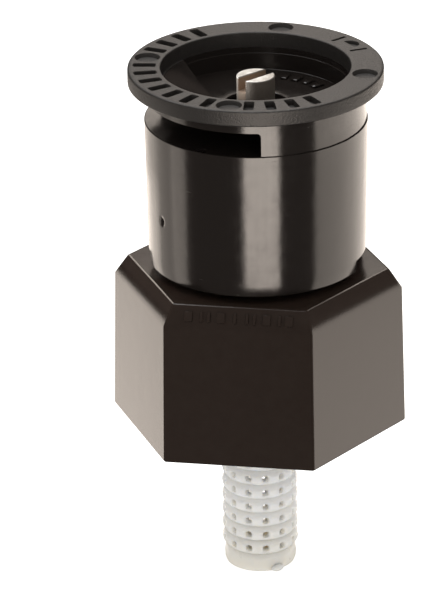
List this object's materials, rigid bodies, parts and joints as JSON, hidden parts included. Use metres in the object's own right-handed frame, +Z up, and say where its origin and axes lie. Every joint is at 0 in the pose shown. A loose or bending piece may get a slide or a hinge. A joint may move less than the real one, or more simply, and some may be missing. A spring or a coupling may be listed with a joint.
{
  "type": "shrub spray head",
  "caption": "Fixed half-circle irrigation spray nozzle with flow screw and filter basket, screwed on a hexagonal riser adapter with a female pipe thread.",
  "frame": {"origin": "centre of the adapter's lower face, at the mouth of the female pipe thread", "axes": "+Z up along the common axis, from the riser towards the nozzle; -Y is the normal of one flat of the hexagon; the half-circle spray leaves at 139.5 degrees clockwise from +X, seen from above"},
  "size_m": [0.0326, 0.0282, 0.0589],
  "materials": {
    "adapter_plastic": "satin moulded, dark brown-black",
    "nozzle_plastic": "glossy moulded black, fine-grained on the flange",
    "stainless": "turned stainless steel",
    "screen_plastic": "translucent white"
  },
  "bodies": {
    "adapter": {"riser_adapter": "adapter_plastic"},
    "filter": {"filter_screen": "screen_plastic"},
    "nozzle": {"nozzle_base": "nozzle_plastic", "nozzle_cap": "nozzle_plastic"},
    "flow_screw": {"adjusting_screw": "stainless"}
  },
  "joints": [
    {"name": "filter_lift", "type": "slide", "parent": "adapter", "child": "filter", "axis": [0, 0, 1], "range_m": [0, 0.0068]},
    {"name": "nozzle_turn", "type": "hinge", "parent": "filter", "child": "nozzle", "pos_m": [0, 0, 0.03], "axis": [0, 0, 1], "range_deg": [0, 2700]},
    {"name": "screw_turn", "type": "hinge", "parent": "nozzle", "child": "flow_screw", "pos_m": [0, 0, 0.035], "axis": [0, 0, 1], "range_deg": [-720, 360]}
  ],
  "couplings": [
    {"joint": "filter_lift", "follows": "nozzle_turn", "m_per_rad": 0.00014435}
  ]
}
